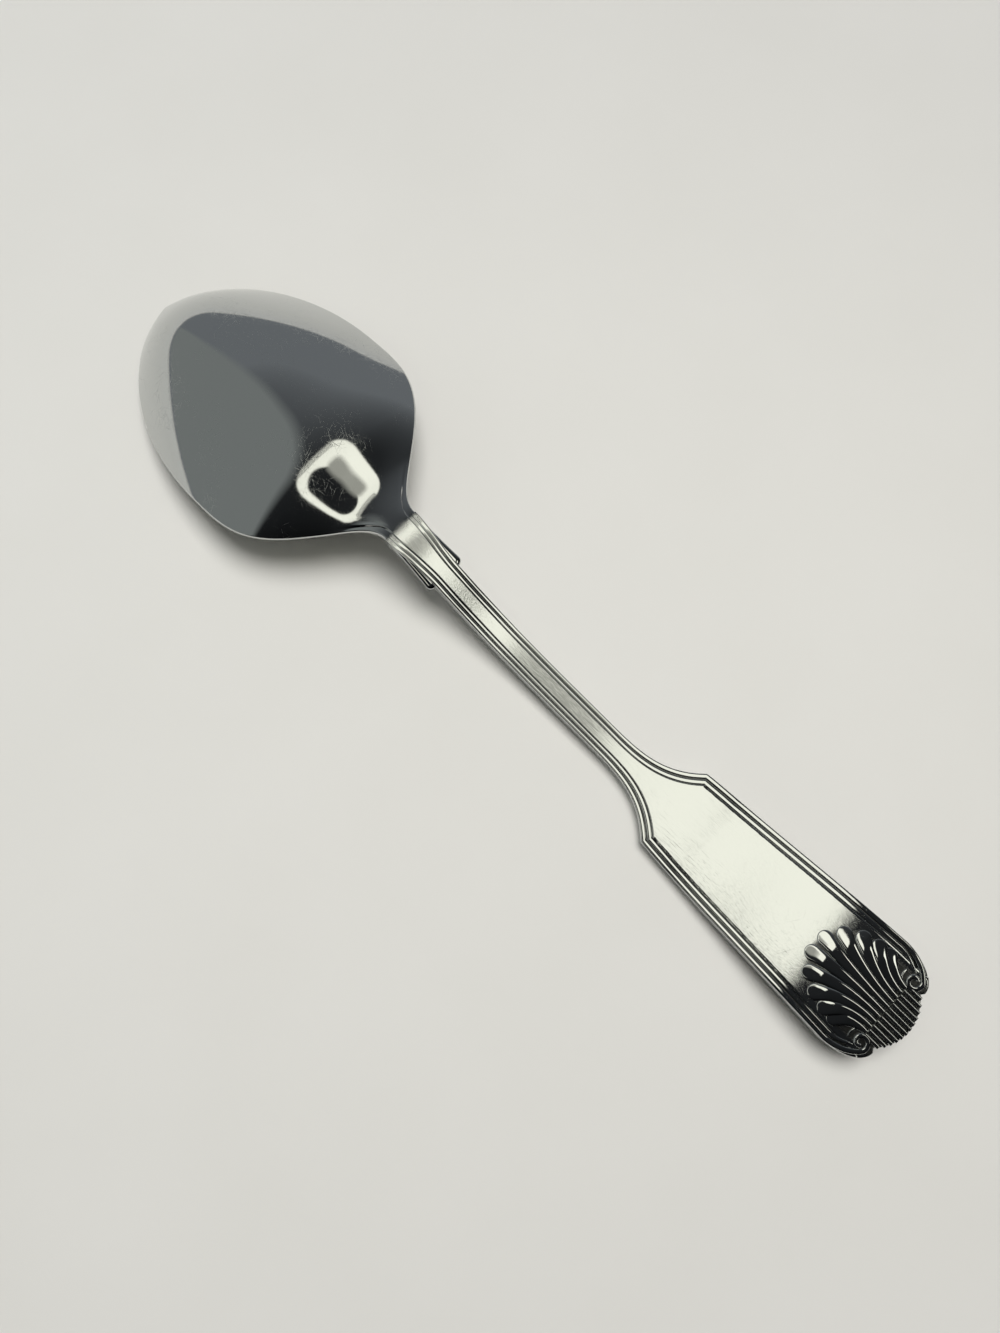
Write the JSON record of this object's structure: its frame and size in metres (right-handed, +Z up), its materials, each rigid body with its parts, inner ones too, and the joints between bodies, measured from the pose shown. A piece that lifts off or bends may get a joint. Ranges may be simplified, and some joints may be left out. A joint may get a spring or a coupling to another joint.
{
  "type": "serving spoon",
  "caption": "Polished steel serving spoon with an egg-shaped bowl, lugs at the neck, a threaded stem and a fiddle-shaped handle that ends in a shell.",
  "frame": {"origin": "on the ground under the middle of the spoon's length, with the spoon lying face down", "axes": "+X from the tip of the bowl to the end of the handle, +Y across the spoon, +Z up, out of the back"},
  "size_m": [0.1568, 0.0372, 0.0148],
  "materials": {
    "polished_steel": "mirror-polished stainless steel with fine wear scratches"
  },
  "bodies": {
    "root": {"bowl": "polished_steel", "handle": "polished_steel"}
  },
  "joints": []
}
